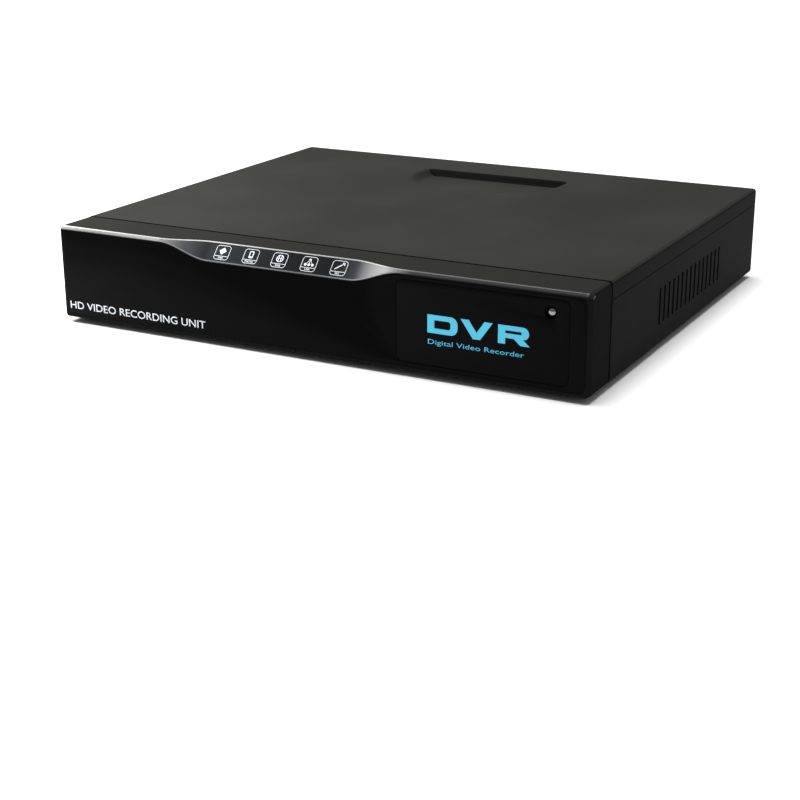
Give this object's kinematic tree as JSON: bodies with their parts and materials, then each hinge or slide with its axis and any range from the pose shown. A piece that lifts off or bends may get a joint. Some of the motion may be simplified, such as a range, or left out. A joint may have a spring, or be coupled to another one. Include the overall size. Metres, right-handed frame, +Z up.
{
  "type": "surveillance video recorder",
  "caption": "Flat surveillance video recorder in a folded steel case with a glossy front, a scooped lid, side vents and a full rear connector panel.",
  "frame": {"origin": "middle of the box that holds the whole recorder, on the surface its feet stand on", "axes": "+X the viewer's right from in front, across the width; +Y from the front to the rear connectors; +Z up"},
  "size_m": [0.255, 0.229, 0.0445],
  "materials": {
    "black_steel": "satin powder coat",
    "grey_steel": "satin grey paint",
    "black_abs": "fine texture",
    "gloss_black": "high gloss",
    "smoke_grey": "satin metallic",
    "clear_lens": "dark and glossy",
    "rubber": "matt",
    "nickel": "bright plate",
    "black_zinc": "black zinc plate",
    "ivory_plastic": "moulded",
    "white_plastic": "moulded",
    "red_plastic": "moulded",
    "blue_plastic": "moulded",
    "black_plastic": "moulded",
    "green_plastic": "moulded",
    "circuit_board": "solder resist",
    "aluminium": "cast",
    "grey_plastic": "sheath"
  },
  "bodies": {
    "recorder": {"front_bezel": "black_abs", "front_fascia": "gloss_black", "indicator_strip": "smoke_grey", "receiver_lens": "clear_lens", "top_cover": "black_steel", "chassis": "black_steel", "rear_panel": "grey_steel", "foot_front_left": "rubber", "foot_front_right": "rubber", "foot_rear_left": "rubber", "foot_rear_right": "rubber", "cover_screw_left": "black_zinc", "cover_screw_right": "black_zinc", "side_screw_left": "black_zinc", "side_screw_right": "black_zinc", "ground_screw": "nickel", "video_block_screw": "nickel", "audio_block_screw": "nickel", "video_shell_1": "nickel", "video_shell_2": "nickel", "video_shell_3": "nickel", "video_shell_4": "nickel", "video_block_right": "ivory_plastic", "video_block_left": "ivory_plastic", "audio_out_shell": "nickel", "audio_out_insulator": "ivory_plastic", "audio_in_housing": "black_plastic", "audio_in_shell_1": "nickel", "audio_in_shell_2": "nickel", "audio_in_shell_3": "nickel", "audio_in_shell_4": "nickel", "audio_in_insulator_1": "white_plastic", "audio_in_insulator_2": "red_plastic", "audio_in_insulator_3": "white_plastic", "audio_in_insulator_4": "red_plastic", "vga_shell": "nickel", "vga_insert": "blue_plastic", "vga_post_left": "nickel", "vga_post_right": "nickel", "hdmi_shell": "nickel", "hdmi_insert": "black_plastic", "lan_usb_shield": "nickel", "lan_usb_insert": "black_plastic", "power_jack": "black_plastic", "power_pin": "nickel", "terminal_header": "green_plastic", "main_board": "circuit_board", "coin_cell": "nickel", "heatsink": "aluminium", "front_board": "circuit_board", "front_cable": "grey_plastic", "drive_cable": "red_plastic", "disk_base": "aluminium", "disk_cover": "aluminium"},
    "terminal_plug": {"terminal_plug": "green_plastic"},
    "clamp_screw_1": {"clamp_screw_1": "nickel"},
    "clamp_screw_2": {"clamp_screw_2": "nickel"},
    "disk_platter": {"disk_platter": "nickel"},
    "disk_arm": {"disk_arm": "aluminium"}
  },
  "joints": [
    {"name": "plug_slide", "type": "slide", "parent": "recorder", "child": "terminal_plug", "axis": [0, 1, 0], "range_m": [0, 0.012]},
    {"name": "clamp_turn_1", "type": "hinge", "parent": "terminal_plug", "child": "clamp_screw_1", "pos_m": [-0.0997, 0.1085, 0.015], "axis": [0, 0, 1], "range_deg": [-360, 360]},
    {"name": "clamp_turn_2", "type": "hinge", "parent": "terminal_plug", "child": "clamp_screw_2", "pos_m": [-0.1035, 0.1085, 0.015], "axis": [0, 0, 1], "range_deg": [-360, 360]},
    {"name": "spindle", "type": "hinge", "parent": "recorder", "child": "disk_platter", "pos_m": [-0.062, -0.0362, 0.0196], "axis": [0, 0, 1], "continuous": true},
    {"name": "arm_pivot", "type": "hinge", "parent": "recorder", "child": "disk_arm", "pos_m": [-0.0035, -0.052, 0.0196], "axis": [0, 0, 1], "range_deg": [0, 25]}
  ]
}
